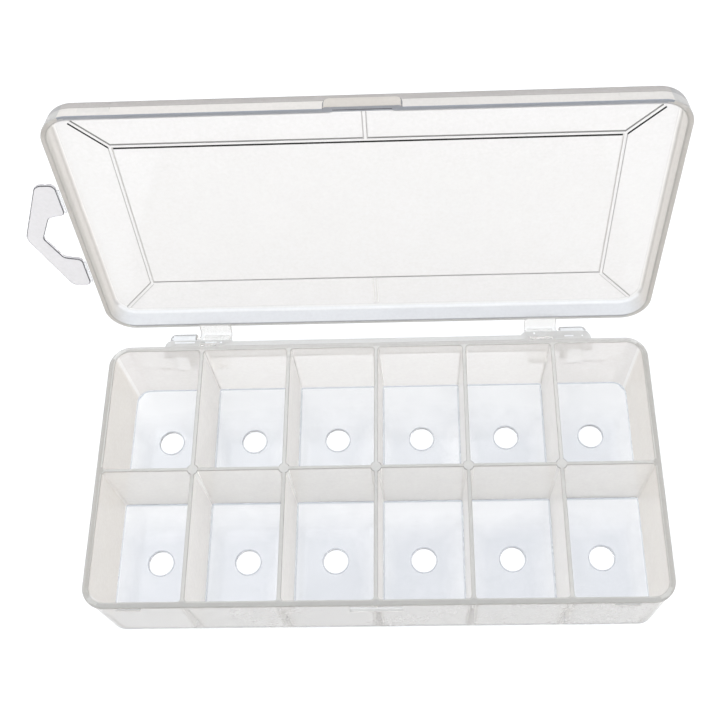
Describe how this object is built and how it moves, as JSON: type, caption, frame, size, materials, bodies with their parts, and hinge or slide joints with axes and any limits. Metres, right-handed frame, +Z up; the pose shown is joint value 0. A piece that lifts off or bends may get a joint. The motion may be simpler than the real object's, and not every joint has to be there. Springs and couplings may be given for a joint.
{
  "type": "dubbing dispenser box",
  "caption": "Clear hinged compartment box whose cells each have a round floor hole for drawing out fly-tying dubbing, with a snap lid and a hang tab.",
  "frame": {"origin": "centre of the tray's flat underside, midway between the two rows of holes", "axes": "+X along the hinge line to the right as seen from the latch side, +Y from the latch side to the hinge side, +Z up"},
  "size_m": [0.1907, 0.1177, 0.1132],
  "materials": {
    "clear_pp_tray": "clear natural polypropylene, satin",
    "clear_pp_lid": "clear natural polypropylene, satin",
    "clear_pp_tab": "clear natural polypropylene, smooth",
    "clear_pp_film": "clear natural polypropylene, thin"
  },
  "bodies": {
    "tray": {"tray": "clear_pp_tray"},
    "lid": {"lid": "clear_pp_lid", "hang_tab_web_front": "clear_pp_film", "hang_tab_web_rear": "clear_pp_film"},
    "hang_tab": {"hang_tab": "clear_pp_tab"}
  },
  "joints": [
    {"name": "lid_hinge", "type": "hinge", "parent": "tray", "child": "lid", "pos_m": [0, 0.0482, 0.0215], "axis": [1, 0, 0], "range_deg": [0, 100]},
    {"name": "hang_tab_fold", "type": "hinge", "parent": "lid", "child": "hang_tab", "pos_m": [-0.0883, 0.05996, 0.06688], "axis": [0, 0.1736, 0.9848], "range_deg": [-30, 90]}
  ]
}
